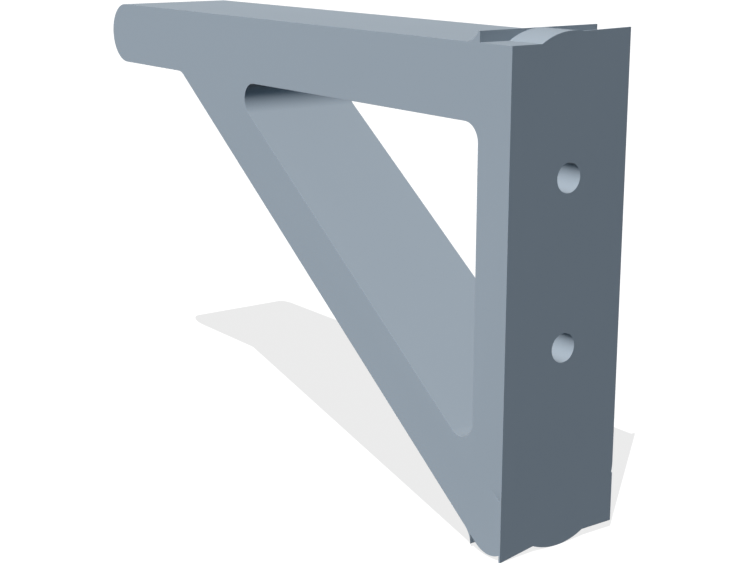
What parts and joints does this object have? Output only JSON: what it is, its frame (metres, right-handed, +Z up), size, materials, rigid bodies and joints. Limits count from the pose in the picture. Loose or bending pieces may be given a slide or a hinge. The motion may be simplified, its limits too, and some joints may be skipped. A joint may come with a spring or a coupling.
{
  "type": "shelf bracket",
  "caption": "Moulded shelf bracket: a wall leg with screw holes, a level arm with a round tip, a diagonal brace below it and a low lip behind the shelf seat.",
  "frame": {"origin": "point of the wall face at mid width, level with the shelf seat", "axes": "+X away from the wall along the arm, +Y across the width, +Z up out of the shelf seat"},
  "size_m": [0.15, 0.028, 0.096],
  "materials": {
    "bracket": "matt moulded, blue-grey"
  },
  "bodies": {
    "root": {"bracket": "bracket"}
  },
  "joints": []
}
